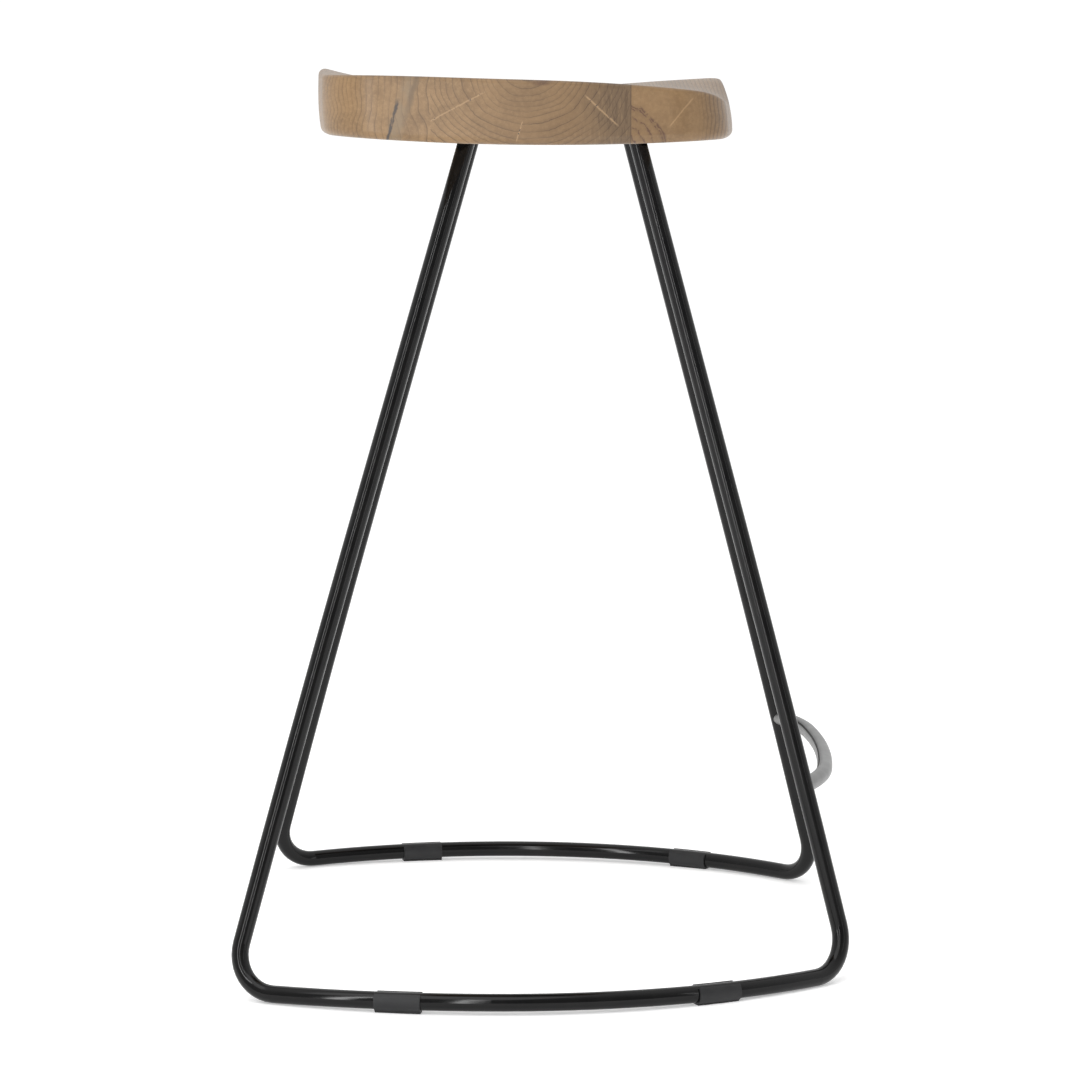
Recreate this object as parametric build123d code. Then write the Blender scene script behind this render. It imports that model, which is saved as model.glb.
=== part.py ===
from build123d import *
import math
import os

# Counter-height bar stool: a dished wooden seat on two bent-rod side frames,
# joined by a curved footrest across the front legs.
# Millimetres. +X points to the front of the stool, +Y to its left, +Z up.
# The origin is on the floor, in the middle of the stool's footprint.

# ---- driving dimensions ----
ROD_RADIUS = 6.35

# Side frame: a floor rail made of two arcs that leave its highest point, and at each end one
# corner bend and one slightly bowed leg. Each arc's plane dips towards its end, so that the
# glides and the corners come down to the same level.
RAIL_MIDDLE = (-37.3, 279.1, 8.4)
RAIL_MIDDLE_HEADING = 1.08
BACK_RAIL = {"radius": 427.0, "length": 161.3, "dip": 3.3}
FRONT_RAIL = {"radius": 349.5, "length": 258.6, "dip": 1.25}
BACK_LEG = {"lean": (0.2858, -0.2023), "corner_radius": 29.7, "bow": 1.11}
FRONT_LEG = {"lean": (-0.2638, -0.0867), "corner_radius": 30.6, "bow": 1.39}
LEG_BOW_LENGTH = 295.0

# seat
SEAT_BOTTOM_Z = 612.2
SEAT_SIDE_TOP_Z = 661.7
SEAT_FRONT_X = 142.1
SEAT_BACK_X = -169.2
SEAT_HALF_WIDTH = 215.0
SEAT_FRONT_BOW = 13.5
SEAT_BACK_BOW = 15.0
SEAT_SIDE_BOW = 7.0
SEAT_FRONT_CORNER = 44.0
SEAT_BACK_CORNER = 50.0
SEAT_UNDERSIDE_RADIUS = 1900.0
# height above the underside, then how far the front and the back edge are drawn in there
SEAT_SECTIONS = ((-6, 1.5, 6.0), (12, 0.0, 1.6), (32, 3.0, 0.0), (62, 12.0, 0.6))
SEAT_TOP_EDGE_RADIUS = 3.0
SEAT_BOTTOM_EDGE_RADIUS = 6.0
FRONT_GLUE_LINE_X = 62.0
BACK_GLUE_LINE_X = -80.0

# seat mounting plate, let into the underside of the seat
PLATE_THICKNESS = 4.0
PLATE_BACK_X = -76.0
PLATE_FRONT_X = 88.0
PLATE_HALF_WIDTH = 126.0
PLATE_CORNER = 14.0
PLATE_POCKET_GAP = 0.8
PLATE_BOTTOM_Z = SEAT_BOTTOM_Z + 3.0
PLATE_TOP_Z = PLATE_BOTTOM_Z + PLATE_THICKNESS
WELD_SIZE = 3.0

# countersunk wood screws through the plate, mirrored about the middle of the seat
SCREW_PLACES = ((-60.0, 62.0), (6.0, 112.0), (76.0, 62.0))
SCREW_RADIUS = 2.5
SCREW_HEAD_RADIUS = 4.8
SCREW_HEAD_DEPTH = 2.6
SCREW_LENGTH = 28.0
SCREW_TIP = 6.0
SCREW_RECESS_LENGTH = 5.0
SCREW_RECESS_WIDTH = 1.1
SCREW_RECESS_DEPTH = 1.8

# footrest: a core rod in a rolled sheet sleeve with an open seam
FOOTREST_Z = 142.3
FOOTREST_CORE_RADIUS = 5.0
FOOTREST_SLEEVE_RADIUS = 5.87
FOOTREST_SEAM_WIDTH = 1.6
FOOTREST_SEAM_ANGLE = 42.0
FOOTREST_MIDDLE_RADIUS = 900.0
FOOTREST_MIDDLE_HALF_WIDTH = 85.0
FOOTREST_END_RADIUS = 203.0

# glides that snap on to the rails
GLIDE_LENGTH = 33.0
GLIDE_WALL = 1.5
GLIDE_FOOT_WIDTH = 8.0
GLIDE_MOUTH_ANGLE = 50.0
GLIDE_BACK_X = -103.2
GLIDE_FRONT_X = 124.1


def turn_arc(start, heading, towards, radius, degrees):
    """An arc that leaves start along heading and turns towards a perpendicular direction."""
    def point(angle):
        angle = math.radians(angle)
        forwards = heading * (radius * math.sin(angle))
        return start + forwards + towards * (radius * (1 - math.cos(angle)))

    turned = math.radians(degrees)
    end_heading = heading * math.cos(turned) + towards * math.sin(turned)
    return ThreePointArc(start, point(degrees / 2), point(degrees)), point(degrees), end_heading


def leg_edges(rail_end, heading, lean, corner_radius, bow):
    """Corner bend, bowed foot of the leg and straight leg, from a rail end upwards."""
    direction = Vector(lean[0], lean[1], 1).normalized()
    full_turn = heading.get_angle(direction)
    towards = (direction - heading * heading.dot(direction)).normalized()
    corner_arc, top, up = turn_arc(rail_end, heading, towards, corner_radius, full_turn - bow)
    towards = (direction - up * up.dot(direction)).normalized()
    bow_arc, top, up = turn_arc(top, up, towards, LEG_BOW_LENGTH / math.radians(bow), bow)
    straight = Line(top, top + direction * ((PLATE_TOP_Z + ROD_RADIUS - top.Z) / direction.Z))
    return [corner_arc, bow_arc, straight]


def parameter_where(path, axis, value, low, high):
    """Place on a path, between two places, where one coordinate has the given value."""
    rising = getattr(path.position_at(high), axis) > getattr(path.position_at(low), axis)
    for _ in range(50):
        middle = (low + high) / 2
        if (getattr(path.position_at(middle), axis) < value) == rising:
            low = middle
        else:
            high = middle
    return (low + high) / 2


def rail_half(forwards):
    """One arc of the left rail, from its middle to an end, with that end and its heading."""
    rail = FRONT_RAIL if forwards else BACK_RAIL
    heading = Vector(1, 0, 0).rotate(Axis.Z, RAIL_MIDDLE_HEADING)
    inward = heading.rotate(Axis.Z, -90)
    dip = math.radians(rail["dip"])
    towards = inward * math.cos(dip) - Vector(0, 0, math.sin(dip))
    if not forwards:
        heading = -heading
    turn = math.degrees(rail["length"] / rail["radius"])
    return turn_arc(Vector(*RAIL_MIDDLE), heading, towards, rail["radius"], turn)


def frame_half(forwards):
    """Rail arc, corner bend and leg at one end of the left side frame."""
    rail_arc, rail_end, heading = rail_half(forwards)
    return [rail_arc] + leg_edges(rail_end, heading, **(FRONT_LEG if forwards else BACK_LEG))


def side_frame():
    """The left side frame, one rod bent into a back leg, a floor rail and a front leg."""
    path = Wire(frame_half(False)[::-1] + frame_half(True))
    section = Plane(origin=path @ 0, z_dir=path % 0) * Circle(ROD_RADIUS)
    rod = sweep(section, path=path)
    return split(rod, bisect_by=Plane.XY.offset(PLATE_BOTTOM_Z), keep=Keep.BOTTOM)


def footrest_path():
    """Right to left: a tighter arc, a nearly straight middle and a tighter arc, all tangent."""
    leg = Wire(frame_half(True)[1:])
    joint = leg.position_at(parameter_where(leg, "Z", FOOTREST_Z, 0.05, 0.95))
    middle_angle = math.degrees(math.asin(FOOTREST_MIDDLE_HALF_WIDTH / FOOTREST_MIDDLE_RADIUS))
    end_sine = math.sin(math.radians(middle_angle))
    end_sine += (joint.Y - FOOTREST_MIDDLE_HALF_WIDTH) / FOOTREST_END_RADIUS
    end_angle = math.degrees(math.asin(end_sine))
    start = Vector(joint.X, -joint.Y, FOOTREST_Z)
    heading = Vector(0, 1, 0).rotate(Axis.Z, -end_angle)
    edges = []
    for radius, turn in (
        (FOOTREST_END_RADIUS, end_angle - middle_angle),
        (FOOTREST_MIDDLE_RADIUS, 2 * middle_angle),
        (FOOTREST_END_RADIUS, end_angle - middle_angle),
    ):
        edge, start, heading = turn_arc(start, heading, heading.rotate(Axis.Z, 90), radius, turn)
        edges.append(edge)
    return Wire(edges)


def swept_on_floor_plane(section, path):
    """Sweep a section whose x is the path's left side and whose y is up."""
    tangent = path % 0
    frame = Plane(origin=path @ 0, x_dir=Vector(-tangent.Y, tangent.X, 0), z_dir=tangent)
    return sweep(frame * section, path=path)


def footrest_core(frames):
    return swept_on_floor_plane(Circle(FOOTREST_CORE_RADIUS), footrest_path()) - frames


def footrest_sleeve(frames):
    """Sheet rolled round the core, with its seam high on the side that faces the seat's back."""
    seam = Rot(0, 0, FOOTREST_SEAM_ANGLE) * Pos(FOOTREST_SLEEVE_RADIUS, 0)
    seam = seam * Rectangle(FOOTREST_SLEEVE_RADIUS, FOOTREST_SEAM_WIDTH)
    section = Circle(FOOTREST_SLEEVE_RADIUS) - Circle(FOOTREST_CORE_RADIUS) - seam
    return swept_on_floor_plane(section, footrest_path()) - frames


def glide(centre_x, forwards):
    """C-shaped plastic clip round the left rail, with a flat foot under it."""
    rail = rail_half(forwards)[0]
    middle = parameter_where(rail, "X", centre_x, 0.0, 1.0)
    reach = GLIDE_LENGTH / 2 / rail.length
    path = rail.trim(middle - reach, middle + reach)
    shell = Circle(ROD_RADIUS + GLIDE_WALL)
    foot_height = 2 * ROD_RADIUS
    foot = Pos(0, -foot_height / 2) * Rectangle(GLIDE_FOOT_WIDTH, foot_height)
    mouth_half = 90 - GLIDE_MOUTH_ANGLE
    mouth_x = 3 * ROD_RADIUS * math.sin(math.radians(mouth_half))
    mouth_y = 3 * ROD_RADIUS * math.cos(math.radians(mouth_half))
    mouth = make_face(Polyline((0, 0), (mouth_x, mouth_y), (-mouth_x, mouth_y), close=True))
    section = shell + foot - Circle(ROD_RADIUS) - mouth
    clip = swept_on_floor_plane(section, path)
    return split(clip, bisect_by=Plane.XY, keep=Keep.TOP)


def seat_height(x, y):
    """Height of the seat's top surface."""
    depth = (x - SEAT_BACK_X) / (SEAT_FRONT_X - SEAT_BACK_X)
    side = SEAT_SIDE_TOP_Z - 14.8 * max(depth, 0) ** 2.6
    dish = 13.0 * math.exp(-((x + 40) / 62) ** 2 - (y / 135) ** 2)
    rim = 8.5 * math.exp(-((x + 182) / 30) ** 2 - (y / 125) ** 2)
    ridge = 0.158 * (math.log1p(math.exp((x - 52) / 14)) * 14) * math.exp(-(y / 62) ** 2)
    fall = max(x - 108, 0) ** 2 / 100 * (1 - math.exp(-(y / 80) ** 2))
    nose = max(x - 131, 0) ** 2 / 14
    return side - dish + rim + ridge - fall - nose


def seat_top_cutter():
    """Everything above the seat's top surface."""
    rows = 25
    columns = 31
    points = []
    for i in range(rows):
        x = SEAT_BACK_X - 15 + (SEAT_FRONT_X - SEAT_BACK_X + 30) * i / (rows - 1)
        row = []
        for j in range(columns):
            y = (SEAT_HALF_WIDTH + 15) * (2 * j / (columns - 1) - 1)
            row.append(Vector(x, y, seat_height(x, y)))
        points.append(row)
    surface = Face.make_surface_from_array_of_points(points)
    return extrude(surface, amount=80, dir=(0, 0, 1))


def seat_outline(front_inset, back_inset):
    """Plan of the seat: four bowed edges with rounded corners."""
    front = SEAT_FRONT_X - front_inset
    back = SEAT_BACK_X + back_inset
    width = SEAT_HALF_WIDTH
    corner_y = width - SEAT_SIDE_BOW
    front_corner_x = front - SEAT_FRONT_BOW
    back_corner_x = back + SEAT_BACK_BOW
    front_edge = ThreePointArc((front_corner_x, -corner_y), (front, 0), (front_corner_x, corner_y))
    back_edge = ThreePointArc((back_corner_x, corner_y), (back, 0), (back_corner_x, -corner_y))
    left = ThreePointArc(front_edge @ 1, ((front + back) / 2, width), back_edge @ 0)
    right = ThreePointArc(back_edge @ 1, ((front + back) / 2, -width), front_edge @ 0)
    face = make_face([front_edge, left, back_edge, right])
    back_corners = face.vertices().sort_by(Axis.X)[:2]
    face = fillet(back_corners, SEAT_BACK_CORNER)
    front_corners = face.vertices().sort_by(Axis.X)[-2:]
    return fillet(front_corners, SEAT_FRONT_CORNER)


def seat_blank():
    """Whole seat before it is parted along its glue lines."""
    sections = []
    for height, front_inset, back_inset in SEAT_SECTIONS:
        sections.append(Pos(0, 0, SEAT_BOTTOM_Z + height) * seat_outline(front_inset, back_inset))
    blank = loft(sections)
    rocker = Cylinder(SEAT_UNDERSIDE_RADIUS, 4 * SEAT_HALF_WIDTH, rotation=(90, 0, 0))
    blank = blank & (Pos(6, 0, SEAT_BOTTOM_Z + SEAT_UNDERSIDE_RADIUS) * rocker)
    blank = blank - seat_top_cutter()
    under_edges = blank.faces().sort_by(Axis.Z)[0].edges()
    blank = fillet(under_edges, SEAT_BOTTOM_EDGE_RADIUS)
    top_edges = blank.faces().sort_by(Axis.Z)[-1].edges()
    return fillet(top_edges, SEAT_TOP_EDGE_RADIUS)


def parted(solid, glue_line_x):
    """The pieces behind and in front of a glue line."""
    pieces = split(solid, bisect_by=Plane.YZ.offset(glue_line_x), keep=Keep.BOTH)
    return pieces.solids().sort_by(Axis.X)


def seat_boards():
    """The three boards, back to front, with the pocket and the screw holes in their undersides."""
    pocket = Pos(0, 0, SEAT_BOTTOM_Z - 10) * plate_outline(PLATE_POCKET_GAP)
    seat = seat_blank() - extrude(pocket, amount=PLATE_TOP_Z - SEAT_BOTTOM_Z + 10)
    seat = seat - seat_screws(recess=False)
    back, rest = parted(seat, BACK_GLUE_LINE_X)
    middle, front = parted(rest, FRONT_GLUE_LINE_X)
    return back, middle, front


def plate_outline(gap=0.0):
    length = PLATE_FRONT_X - PLATE_BACK_X + 2 * gap
    outline = RectangleRounded(length, 2 * (PLATE_HALF_WIDTH + gap), PLATE_CORNER + gap)
    return Pos((PLATE_FRONT_X + PLATE_BACK_X) / 2, 0) * outline


def seat_plate():
    plate = extrude(Pos(0, 0, PLATE_BOTTOM_Z) * plate_outline(), amount=PLATE_THICKNESS)
    return plate - seat_screws(recess=False)


def plate_welds(frames):
    """Weld fillets where the four leg tops meet the plate."""
    welds = []
    for frame in frames:
        for top in frame.faces().sort_by(Axis.Z)[-2:]:
            place = Pos(top.center().X, top.center().Y, PLATE_BOTTOM_Z - WELD_SIZE / 2)
            welds.append(place * Cone(ROD_RADIUS, ROD_RADIUS + WELD_SIZE, WELD_SIZE) - frames)
    return welds


def screw(recess):
    """One screw, head down, with the face of its head at z = 0."""
    shank_top = SCREW_LENGTH - SCREW_TIP
    outline = Polyline(
        (0, 0),
        (SCREW_HEAD_RADIUS, 0),
        (SCREW_RADIUS, SCREW_HEAD_DEPTH),
        (SCREW_RADIUS, shank_top),
        (0, SCREW_LENGTH),
        close=True,
    )
    body = revolve(Plane.XZ * make_face(outline), axis=Axis.Z)
    if recess:
        for turn in (0, 90):
            slot = Box(SCREW_RECESS_LENGTH, SCREW_RECESS_WIDTH, 2 * SCREW_RECESS_DEPTH)
            body = body - Rot(0, 0, turn) * slot
    return body


def seat_screws(recess=True):
    places = [(x, side * y) for x, y in SCREW_PLACES for side in (1, -1)]
    return [Pos(x, y, PLATE_BOTTOM_Z) * screw(recess) for x, y in places]


def group(solids):
    """Separate solids that share one node."""
    return Compound(children=[item.solid() for item in solids])


def build():
    left = side_frame()
    right = mirror(left, about=Plane.XZ)
    back_glide = glide(GLIDE_BACK_X, forwards=False)
    front_glide = glide(GLIDE_FRONT_X, forwards=True)
    back_board, middle_board, front_board = seat_boards()
    return {
        "seat_back_board": back_board,
        "seat_middle_board": middle_board,
        "seat_front_board": front_board,
        "seat_plate": seat_plate(),
        "seat_screws": group(seat_screws()),
        "plate_welds": group(plate_welds([left, right])),
        "left_side_frame": left,
        "right_side_frame": right,
        "footrest_core": footrest_core([left, right]),
        "footrest_sleeve": footrest_sleeve([left, right]),
        "glide_back_left": back_glide,
        "glide_front_left": front_glide,
        "glide_back_right": mirror(back_glide, about=Plane.XZ),
        "glide_front_right": mirror(front_glide, about=Plane.XZ),
    }


os.makedirs("parts", exist_ok=True)
for name, shape in build().items():
    export_step(shape, f"parts/{name}.step")
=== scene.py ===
import math

import bpy
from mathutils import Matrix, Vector


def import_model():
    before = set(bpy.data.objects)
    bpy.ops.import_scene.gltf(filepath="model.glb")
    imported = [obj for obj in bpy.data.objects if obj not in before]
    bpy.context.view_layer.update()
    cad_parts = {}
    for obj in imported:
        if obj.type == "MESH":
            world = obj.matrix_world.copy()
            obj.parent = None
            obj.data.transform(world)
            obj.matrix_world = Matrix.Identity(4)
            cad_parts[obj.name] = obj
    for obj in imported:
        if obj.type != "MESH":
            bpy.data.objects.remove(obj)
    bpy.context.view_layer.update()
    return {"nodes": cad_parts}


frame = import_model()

MM = 0.001
# the mix node has a set of sockets for each data type, all with the same names
MIX_COLOUR_A = 6
MIX_COLOUR_B = 7
MIX_COLOUR_RESULT = 2


# ---------------------------------------------------------------- shader nodes

class Graph:
    """Short calls that add and link shader nodes. Lengths inside a graph are in millimetres."""

    def __init__(self, name):
        self.material = bpy.data.materials.new(name)
        self.material.use_nodes = True
        self.tree = self.material.node_tree
        self.tree.nodes.clear()
        output = self.tree.nodes.new("ShaderNodeOutputMaterial")
        self.shader = self.tree.nodes.new("ShaderNodeBsdfPrincipled")
        self.tree.links.new(self.shader.outputs[0], output.inputs["Surface"])
        metres = self.tree.nodes.new("ShaderNodeTexCoord").outputs["Object"]
        self.position = self.vector("MULTIPLY", metres, (1 / MM, 1 / MM, 1 / MM))
        parts = self.tree.nodes.new("ShaderNodeSeparateXYZ")
        self.tree.links.new(self.position, parts.inputs[0])
        self.x, self.y, self.z = parts.outputs

    def plug(self, value, socket):
        if isinstance(value, bpy.types.NodeSocket):
            self.tree.links.new(value, socket)
        else:
            socket.default_value = value

    def math(self, operation, a, b=0.0, c=0.0):
        node = self.tree.nodes.new("ShaderNodeMath")
        node.operation = operation
        for value, socket in zip((a, b, c), node.inputs):
            self.plug(value, socket)
        return node.outputs[0]

    def add(self, *values):
        total = values[0]
        for value in values[1:]:
            total = self.math("ADD", total, value)
        return total

    def multiply(self, *values):
        total = values[0]
        for value in values[1:]:
            total = self.math("MULTIPLY", total, value)
        return total

    def vector(self, operation, a, b=(0.0, 0.0, 0.0)):
        node = self.tree.nodes.new("ShaderNodeVectorMath")
        node.operation = operation
        self.plug(a, node.inputs[0])
        self.plug(b, node.inputs[1])
        return node.outputs["Vector"]

    def noise(self, stretch, detail=2.0, roughness=0.5, shift=(0.0, 0.0, 0.0)):
        """Noise from 0 to 1, about 0.5, whose grain is stretch millimetres along x, y and z."""
        node = self.tree.nodes.new("ShaderNodeTexNoise")
        scaled = self.vector("MULTIPLY", self.position, tuple(1 / size for size in stretch))
        self.plug(self.vector("ADD", scaled, shift), node.inputs["Vector"])
        node.inputs["Scale"].default_value = 1.0
        node.inputs["Detail"].default_value = detail
        node.inputs["Roughness"].default_value = roughness
        return node.outputs["Fac"]

    def sway(self, amount, stretch, detail=2.0, shift=(0.0, 0.0, 0.0)):
        """Noise centred on zero that moves a coordinate by up to about half the amount."""
        return self.multiply(self.math("SUBTRACT", self.noise(stretch, detail, 0.55, shift), 0.5), amount)

    def cells(self, stretch):
        node = self.tree.nodes.new("ShaderNodeTexVoronoi")
        scaled = self.vector("MULTIPLY", self.position, tuple(1 / size for size in stretch))
        self.plug(scaled, node.inputs["Vector"])
        node.inputs["Scale"].default_value = 1.0
        return node.outputs["Distance"]

    def ramp(self, value, low, high, out_low=0.0, out_high=1.0):
        node = self.tree.nodes.new("ShaderNodeMapRange")
        node.interpolation_type = "SMOOTHSTEP"
        numbers = {
            "Value": value, "From Min": low, "From Max": high, "To Min": out_low, "To Max": out_high,
        }
        for key, number in numbers.items():
            self.plug(number, node.inputs[key])
        return node.outputs[0]

    def mix(self, factor, a, b):
        node = self.tree.nodes.new("ShaderNodeMix")
        node.data_type = "RGBA"
        self.plug(factor, node.inputs["Factor"])
        for value, socket in ((a, node.inputs[MIX_COLOUR_A]), (b, node.inputs[MIX_COLOUR_B])):
            self.plug(value if isinstance(value, bpy.types.NodeSocket) else (*value, 1.0), socket)
        return node.outputs[MIX_COLOUR_RESULT]

    def bump(self, height, distance, strength=1.0):
        node = self.tree.nodes.new("ShaderNodeBump")
        node.inputs["Distance"].default_value = distance
        node.inputs["Strength"].default_value = strength
        self.plug(height, node.inputs["Height"])
        return node.outputs[0]

    def finish(self, **sockets):
        names = {
            "colour": "Base Color", "roughness": "Roughness", "metallic": "Metallic", "normal": "Normal",
            "specular": "Specular IOR Level", "coat": "Coat Weight", "coat_roughness": "Coat Roughness",
            "glow": "Emission Strength",
        }
        for key, value in sockets.items():
            if key == "colour" and not isinstance(value, bpy.types.NodeSocket):
                value = (*value, 1.0)
            self.plug(value, self.shader.inputs[names[key]])
        return self.material


# ---------------------------------------------------------------- wood

WOOD = (0.250, 0.149, 0.066)
WOOD_PALE = (0.305, 0.192, 0.090)
WOOD_BROWN = (0.166, 0.096, 0.041)
RING = (0.055, 0.028, 0.012)
GREY_WOOD = (0.200, 0.145, 0.088)
SHADE_WOOD = (0.098, 0.062, 0.033)
KNOT = (0.038, 0.030, 0.028)
REDDISH_RING = (0.085, 0.040, 0.022)
CHECK = (0.38, 0.245, 0.125)
# where the rings' pith and the front glue line run, in millimetres
PITH_X = -11.0
PITH_Z = 669.0
GLUE_LINE_X = 62.0


def ring_lines(g, phase, width, shade):
    """Growth rings: a crisp dark line at the end of each ring, after a soft darkening."""
    place = g.math("FRACT", phase)
    crisp = g.multiply(g.ramp(place, 1 - 2 * width, 1 - width), g.ramp(place, 1 - width, 1.0, 1.0, 0.0))
    soft = g.multiply(g.ramp(place, 0.45, 1 - width), g.ramp(place, 1 - width, 1.0, shade, 0.0))
    return g.math("MAXIMUM", crisp, soft)


def stroke(g, start, end, half_width, wobble=1.2):
    """Mask of a wavering line on the end grain, from one (x, z) to another."""
    length = math.dist(start, end)
    along_x = (end[0] - start[0]) / length
    along_z = (end[1] - start[1]) / length
    x = g.math("SUBTRACT", g.x, start[0])
    z = g.math("SUBTRACT", g.z, start[1])
    along = g.add(g.multiply(x, along_x / length), g.multiply(z, along_z / length))
    across = g.add(g.multiply(x, -along_z), g.multiply(z, along_x), g.sway(wobble, (4, 400, 4)))
    band = g.ramp(g.math("ABSOLUTE", across), half_width * 0.5, half_width * 1.5, 1.0, 0.0)
    return g.multiply(band, g.ramp(along, 0.0, 0.12), g.ramp(along, 0.86, 1.0, 1.0, 0.0)), across


def near_right_end(g):
    """1 close to the right end of the seat, 0 elsewhere: knots and checks don't run its whole length."""
    return g.ramp(g.y, -190.0, -150.0, 1.0, 0.0)


def wood_ground(g):
    """Colour between rings: slow cloudy changes and fine fibres along the boards."""
    cloud = g.noise((26, 190, 26), 3.0, 0.55)
    fleck = g.noise((2.2, 60, 2.2), 3.0, 0.6, (4.0, 2.0, 7.0))
    fibre = g.noise((0.7, 34, 0.7), 3.0, 0.6)
    colour = g.mix(g.ramp(cloud, 0.30, 0.72), WOOD_BROWN, WOOD)
    colour = g.mix(g.ramp(fleck, 0.35, 0.75, 0.0, 0.55), colour, WOOD_PALE)
    colour = g.mix(g.ramp(fibre, 0.35, 0.75, 0.0, 0.28), colour, WOOD_BROWN)
    pores = g.ramp(g.cells((0.9, 26, 0.9)), 0.10, 0.26, 1.0, 0.0)
    return colour, fibre, pores


def wood_finish(g, colour, fibre, pores, lines):
    height = g.add(g.multiply(fibre, 0.5), g.multiply(pores, -1.0), g.multiply(lines, -0.4))
    colour = g.mix(g.multiply(pores, 0.22), colour, RING)
    rough = g.ramp(fibre, 0.2, 0.8, 0.36, 0.48)
    normal = g.bump(height, 0.05 * MM, 0.6)
    return g.finish(
        colour=colour, roughness=rough, normal=normal, specular=0.45, coat=0.20, coat_roughness=0.30
    )


def back_board_wood():
    """Near-vertical wavy rings, closer together towards the back edge, and a dark knot."""
    g = Graph("wood_back_board")
    colour, fibre, pores = wood_ground(g)
    wave = g.sway(15.0, (60, 300, 26), 1.0, (2.0, 0.0, 0.4))
    ripple = g.sway(1.3, (3, 60, 5))
    depth = g.math("MAXIMUM", g.add(g.x, 172.0, wave, ripple), 0.0)
    phase = g.multiply(g.math("LOGARITHM", g.add(1.0, g.multiply(depth, 0.042)), math.e), 17.5)
    strength = g.ramp(g.noise((9, 200, 30), 2.0), 0.30, 0.65, 0.30, 0.90)
    lines = g.multiply(ring_lines(g, phase, 0.10, 0.28), strength)
    colour = g.mix(g.multiply(lines, 0.80), colour, RING)

    crack, across = stroke(g, (-112.5, 610.0), (-102.5, 646.0), 1.0, 2.6)
    halo = g.ramp(g.math("ABSOLUTE", g.add(across, 4.5)), 1.0, 8.0, 0.70, 0.0)
    halo = g.multiply(halo, g.ramp(g.noise((6, 300, 9), 2.0), 0.25, 0.55, 0.35, 1.0), near_right_end(g))
    colour = g.mix(halo, colour, GREY_WOOD)
    rim = g.ramp(g.math("ABSOLUTE", g.add(across, 8.5)), 0.4, 3.0, 0.60, 0.0)
    rim = g.multiply(rim, near_right_end(g), g.ramp(g.z, 622.0, 650.0))
    colour = g.mix(rim, colour, SHADE_WOOD)
    core = g.ramp(g.noise((1.1, 200, 5.0), 2.0, 0.5, (3.0, 0.0, 1.0)), 0.30, 0.46, 0.35, 1.0)
    crack = g.multiply(crack, core, near_right_end(g))
    colour = g.mix(g.multiply(crack, 0.92), colour, KNOT)
    return wood_finish(g, colour, fibre, pores, g.add(lines, crack))


def middle_board_wood():
    """Rings round a pith above the board, three radial checks and a shaded zone at the glue line."""
    g = Graph("wood_middle_board")
    colour, fibre, pores = wood_ground(g)
    colour = g.mix(g.ramp(g.x, -70.0, 0.0, 0.0, 0.50), colour, WOOD_BROWN)
    x = g.add(g.x, -PITH_X, g.sway(9.0, (45, 400, 30), 1.0), g.sway(1.6, (4, 90, 4)))
    wave = g.sway(8.0, (38, 400, 34), 1.0, (5.0, 0.0, 1.0))
    ripple = g.sway(1.6, (4, 90, 4), 2.0, (3.0, 1.0, 2.0))
    z = g.add(g.z, -PITH_Z, wave, ripple)
    radius = g.math("SQRT", g.add(g.multiply(x, x, 0.80), g.multiply(z, z)))
    check, across = stroke(g, (-87.0, 625.5), (-40.0, 650.5), 0.5)
    fault = g.multiply(g.ramp(across, -0.4, 0.4), g.ramp(g.x, -38.0, -52.0))
    uneven = g.multiply(g.math("SINE", g.multiply(radius, 0.21)), 0.32)
    phase = g.add(g.multiply(radius, 0.235), g.multiply(fault, 0.46), uneven)
    strength = g.ramp(g.noise((24, 300, 16), 2.0, 0.5, (8.0, 0.0, 3.0)), 0.28, 0.60, 0.42, 1.0)
    lines = g.multiply(ring_lines(g, phase, 0.085, 0.24), strength)

    shade = g.ramp(g.add(g.x, g.sway(16.0, (12, 300, 18))), 14.0, 52.0, 0.0, 0.72)
    colour = g.mix(shade, colour, SHADE_WOOD)
    streaks = g.noise((1.6, 60, 9.0), 3.0, 0.6, (1.0, 5.0, 2.0))
    colour = g.mix(g.multiply(shade, g.ramp(streaks, 0.52, 0.72, 0.0, 0.50)), colour, WOOD_PALE)
    colour = g.mix(g.multiply(shade, g.ramp(streaks, 0.48, 0.30, 0.0, 0.70)), colour, RING)
    colour = g.mix(g.multiply(lines, 0.80), colour, RING)

    spot_x = g.multiply(g.add(g.x, 1.5), 0.32)
    spot_z = g.add(g.z, -656.5)
    spot = g.math("SQRT", g.add(g.multiply(spot_x, spot_x), g.multiply(spot_z, spot_z)))
    spot = g.multiply(g.ramp(spot, 0.8, 3.4, 0.75, 0.0), g.ramp(fibre, 0.3, 0.55, 0.3, 1.0))
    colour = g.mix(spot, colour, REDDISH_RING)
    lower, _ = stroke(g, (-19.5, 614.0), (-14.5, 630.0), 0.45)
    right, _ = stroke(g, (28.0, 648.5), (54.0, 624.5), 0.6)
    checks = g.multiply(g.math("MAXIMUM", check, g.math("MAXIMUM", lower, right)), near_right_end(g))
    colour = g.mix(g.multiply(checks, 0.55), colour, CHECK)
    specks = g.multiply(checks, g.ramp(g.noise((1.5, 300, 1.5), 1.0), 0.62, 0.68))
    colour = g.mix(specks, colour, KNOT)
    glue = g.ramp(g.math("ABSOLUTE", g.add(g.x, -GLUE_LINE_X)), 0.2, 1.0, 0.65, 0.0)
    colour = g.mix(glue, colour, RING)
    return wood_finish(g, colour, fibre, pores, g.add(lines, checks))


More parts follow.
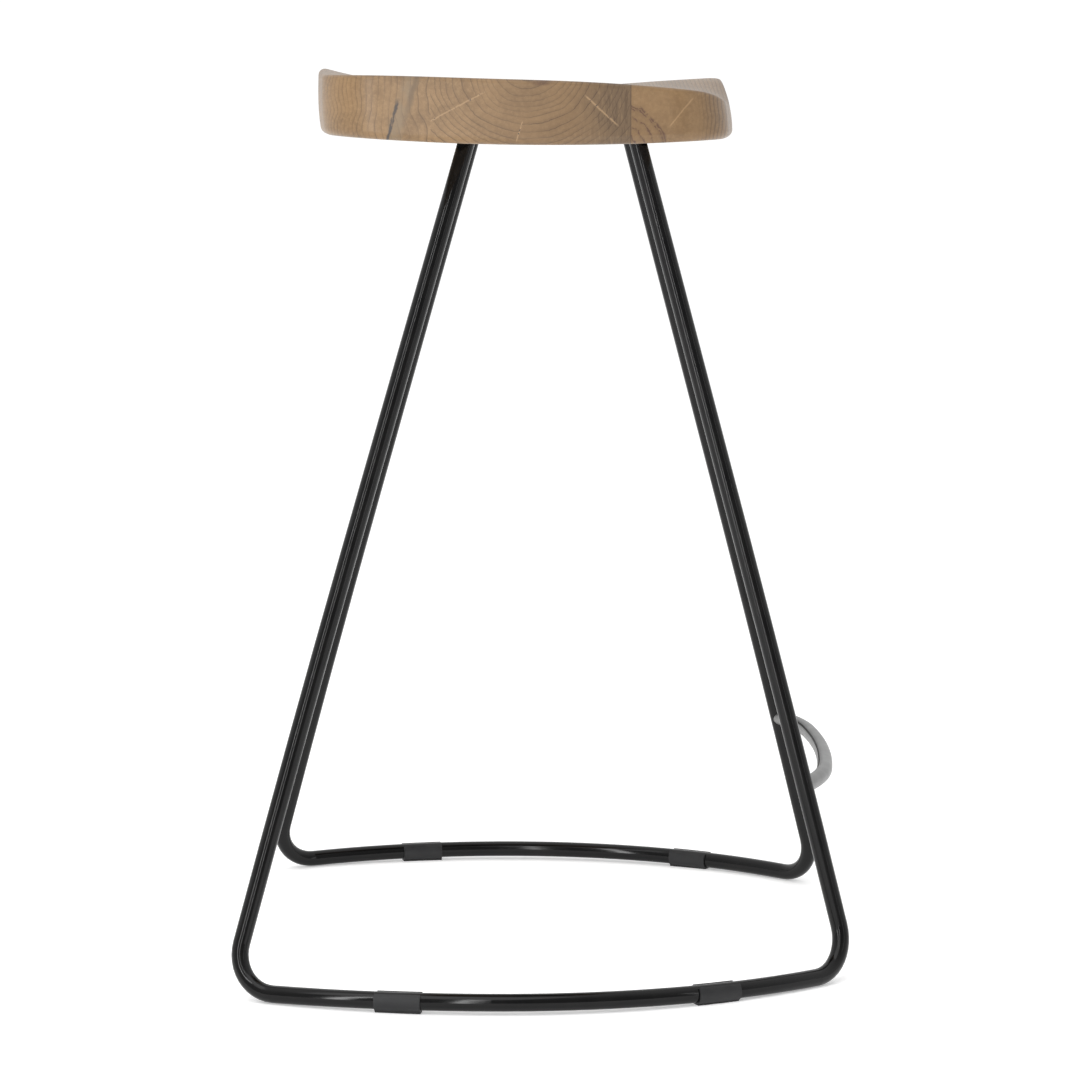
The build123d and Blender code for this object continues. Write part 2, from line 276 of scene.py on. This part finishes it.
def front_board_wood():
    """Plain, mottled wood with broken dark rings low at the glue line and fine lines at the front."""
    g = Graph("wood_front_board")
    colour, fibre, pores = wood_ground(g)
    colour = g.mix(0.30, colour, WOOD_BROWN)
    slant = g.noise((3.0, 120, 3.0), 2.0, 0.6, (9.0, 0.0, 4.0))
    colour = g.mix(g.ramp(slant, 0.45, 0.70, 0.0, 0.30), colour, WOOD_BROWN)

    x = g.add(g.x, -47.5, g.sway(7.0, (7, 300, 7), 2.0))
    z = g.add(g.z, -602.0, g.sway(7.0, (7, 300, 7), 2.0, (6.0, 2.0, 1.0)))
    radius = g.math("SQRT", g.add(g.multiply(x, x), g.multiply(z, z)))
    old = g.ramp(radius, 40.5, 42.5, 1.0, 0.0)
    broken = g.ramp(g.noise((4.0, 200, 4.0), 2.0, 0.6, (2.0, 1.0, 0.0)), 0.38, 0.55)
    dark = g.multiply(ring_lines(g, g.multiply(radius, 0.175), 0.20, 0.35), broken, old)
    edge = g.multiply(g.ramp(radius, 39.4, 40.8), old, g.ramp(broken, 0.0, 0.6))
    dark = g.math("MAXIMUM", dark, edge)
    colour = g.mix(g.multiply(old, 0.30), colour, WOOD_BROWN)
    colour = g.mix(g.multiply(dark, 0.95), colour, REDDISH_RING)

    bulge = g.multiply(g.math("ABSOLUTE", g.add(g.z, -632.0)), 0.10)
    bent = g.add(g.x, g.sway(5.0, (40, 300, 30), 1.0), g.sway(0.8, (3, 60, 5)), bulge)
    on_top = g.ramp(g.y, -209.0, -196.0)
    reach = g.math("MAXIMUM", g.ramp(g.x, 112.0, 136.0, 0.04, 0.55), g.multiply(on_top, 0.95))
    fine = g.multiply(ring_lines(g, g.multiply(bent, 0.34), 0.16, 0.45), reach)
    colour = g.mix(g.multiply(fine, 0.75), colour, RING)
    crack, _ = stroke(g, (88.5, 624.5), (107.0, 647.0), 0.5)
    crack = g.multiply(crack, near_right_end(g))
    colour = g.mix(g.multiply(crack, 0.45), colour, CHECK)
    return wood_finish(g, colour, fibre, pores, g.add(dark, fine))


# ---------------------------------------------------------------- metal and plastic

def powder_coat():
    g = Graph("black_powder_coat")
    peel = g.noise((0.7, 0.7, 0.7), 2.0)
    cloud = g.noise((22, 22, 22), 3.0, 0.55)
    colour = g.mix(g.ramp(cloud, 0.3, 0.7), (0.0030, 0.0030, 0.0032), (0.0052, 0.0050, 0.0050))
    rough = g.ramp(cloud, 0.25, 0.75, 0.10, 0.14)
    return g.finish(colour=colour, roughness=rough, normal=g.bump(peel, 0.006 * MM, 0.5), specular=0.26)


def brushed_sheet():
    g = Graph("footrest_sheet")
    streak = g.noise((0.4, 16, 0.4), 3.0, 0.6)
    cloud = g.noise((16, 16, 16), 2.0)
    colour = g.mix(g.ramp(streak, 0.25, 0.75), (0.19, 0.19, 0.19), (0.27, 0.27, 0.266))
    rough = g.add(g.ramp(streak, 0.2, 0.8, 0.36, 0.46), g.ramp(cloud, 0.3, 0.7, -0.03, 0.04))
    return g.finish(colour=colour, roughness=rough, metallic=1.0, normal=g.bump(streak, 0.01 * MM, 0.6))


def dark_steel():
    g = Graph("footrest_core_steel")
    cloud = g.noise((8, 8, 8), 3.0, 0.55)
    colour = g.mix(cloud, (0.010, 0.010, 0.010), (0.022, 0.021, 0.020))
    rough = g.ramp(cloud, 0.2, 0.8, 0.45, 0.6)
    return g.finish(colour=colour, roughness=rough, normal=g.bump(cloud, 0.02 * MM, 0.5))


def glide_plastic():
    g = Graph("glide_plastic")
    grain = g.noise((0.45, 0.45, 0.45), 2.0, 0.6)
    cloud = g.noise((11, 11, 11), 2.0)
    colour = g.mix(g.ramp(cloud, 0.3, 0.7), (0.010, 0.010, 0.011), (0.016, 0.016, 0.017))
    rough = g.ramp(cloud, 0.3, 0.7, 0.45, 0.55)
    return g.finish(colour=colour, roughness=rough, normal=g.bump(grain, 0.03 * MM, 0.6), specular=0.4)


def zinc():
    g = Graph("zinc_screws")
    cloud = g.noise((1.4, 1.4, 1.4), 3.0, 0.6)
    colour = g.mix(cloud, (0.50, 0.50, 0.48), (0.72, 0.72, 0.70))
    return g.finish(colour=colour, roughness=g.ramp(cloud, 0.2, 0.8, 0.28, 0.42), metallic=1.0)


coat = powder_coat()
plastic = glide_plastic()
finish = {
    "seat_back_board": back_board_wood(),
    "seat_middle_board": middle_board_wood(),
    "seat_front_board": front_board_wood(),
    "footrest_sleeve": brushed_sheet(),
    "footrest_core": dark_steel(),
    "seat_screws": zinc(),
}
for node in ("left_side_frame", "right_side_frame", "seat_plate", "plate_welds"):
    finish[node] = coat
for node in ("glide_back_left", "glide_front_left", "glide_back_right", "glide_front_right"):
    finish[node] = plastic

for node, material in finish.items():
    item = frame["nodes"][node]
    item.data.materials.clear()
    item.data.materials.append(material)


# ---------------------------------------------------------------- camera, floor and light

CAMERA_PLACE = (-0.0026, -2.917, 0.6440)
CAMERA_PITCH = 6.605
SENSOR = 36.0
LENS = 126.67
OVERHEAD_HEIGHT = 2.0
STOOL_MIDDLE = 0.35

camera_data = bpy.data.cameras.new("camera")
camera_data.sensor_width = SENSOR
camera_data.lens = LENS
camera = bpy.data.objects.new("camera", camera_data)
camera.location = CAMERA_PLACE
camera.rotation_euler = (math.radians(90 - CAMERA_PITCH), 0, 0)
bpy.context.scene.collection.objects.link(camera)
bpy.context.scene.camera = camera


def floor():
    far = 60.0
    corners = [(-far, -far, 0), (far, -far, 0), (far, far, 0), (-far, far, 0)]
    mesh = bpy.data.meshes.new("floor")
    mesh.from_pydata(corners, [], [(0, 1, 2, 3)])
    item = bpy.data.objects.new("floor", mesh)
    bpy.context.scene.collection.objects.link(item)
    g = Graph("floor_white")
    mesh.materials.append(g.finish(colour=(0.90, 0.90, 0.90), roughness=0.9, specular=0.0, glow=0.33))


def softbox(name, azimuth, distance, height, size, radiance):
    """Rectangular light that faces the stool.

    Azimuth 0 is behind the camera and 90 is the stool's front.
    A light above OVERHEAD_HEIGHT is tipped down at the middle of the stool.
    """
    angle = math.radians(azimuth)
    place = Vector((math.sin(angle) * distance, -math.cos(angle) * distance, height))
    data = bpy.data.lights.new(name, "AREA")
    data.shape = "RECTANGLE"
    data.size, data.size_y = size
    data.energy = radiance * math.pi * size[0] * size[1]
    item = bpy.data.objects.new(name, data)
    item.location = place
    aim = Vector((0, 0, STOOL_MIDDLE if height > OVERHEAD_HEIGHT else height))
    item.rotation_euler = (aim - place).to_track_quat("-Z", "Y").to_euler()
    bpy.context.scene.collection.objects.link(item)


def world():
    """White for the camera. Its light comes from all round, and is weaker from the camera's side."""
    made = bpy.data.worlds.new("studio")
    made.use_nodes = True
    tree = made.node_tree
    shade = tree.nodes["Background"]
    white = tree.nodes.new("ShaderNodeBackground")
    white.inputs["Color"].default_value = (1, 1, 1, 1)
    white.inputs["Strength"].default_value = 1.05
    ray = tree.nodes.new("ShaderNodeLightPath")
    choose = tree.nodes.new("ShaderNodeMixShader")
    direction = tree.nodes.new("ShaderNodeSeparateXYZ")
    tree.links.new(tree.nodes.new("ShaderNodeTexCoord").outputs["Generated"], direction.inputs[0])
    fade = tree.nodes.new("ShaderNodeMapRange")
    fade.interpolation_type = "SMOOTHSTEP"
    for key, number in (("From Min", -0.90), ("From Max", 0.05), ("To Min", 0.30), ("To Max", 1.0)):
        fade.inputs[key].default_value = number
    tree.links.new(direction.outputs[1], fade.inputs["Value"])
    tree.links.new(fade.outputs[0], shade.inputs["Strength"])
    shade.inputs["Color"].default_value = (1, 1, 1, 1)
    tree.links.new(ray.outputs["Is Camera Ray"], choose.inputs[0])
    tree.links.new(shade.outputs[0], choose.inputs[1])
    tree.links.new(white.outputs[0], choose.inputs[2])
    tree.links.new(choose.outputs[0], tree.nodes["World Output"].inputs["Surface"])
    bpy.context.scene.world = made


floor()
world()
softbox("overhead", -25, 1.6, 3.2, (2.6, 2.2), 1.55)
softbox("strip_left", -34, 2.4, 1.25, (0.17, 2.5), 14.0)
softbox("strip_middle", -9, 2.4, 1.25, (0.12, 2.5), 13.0)
softbox("strip_right", 48, 3.4, 1.1, (0.16, 1.9), 3.0)
bpy.context.scene.view_settings.view_transform = "Standard"
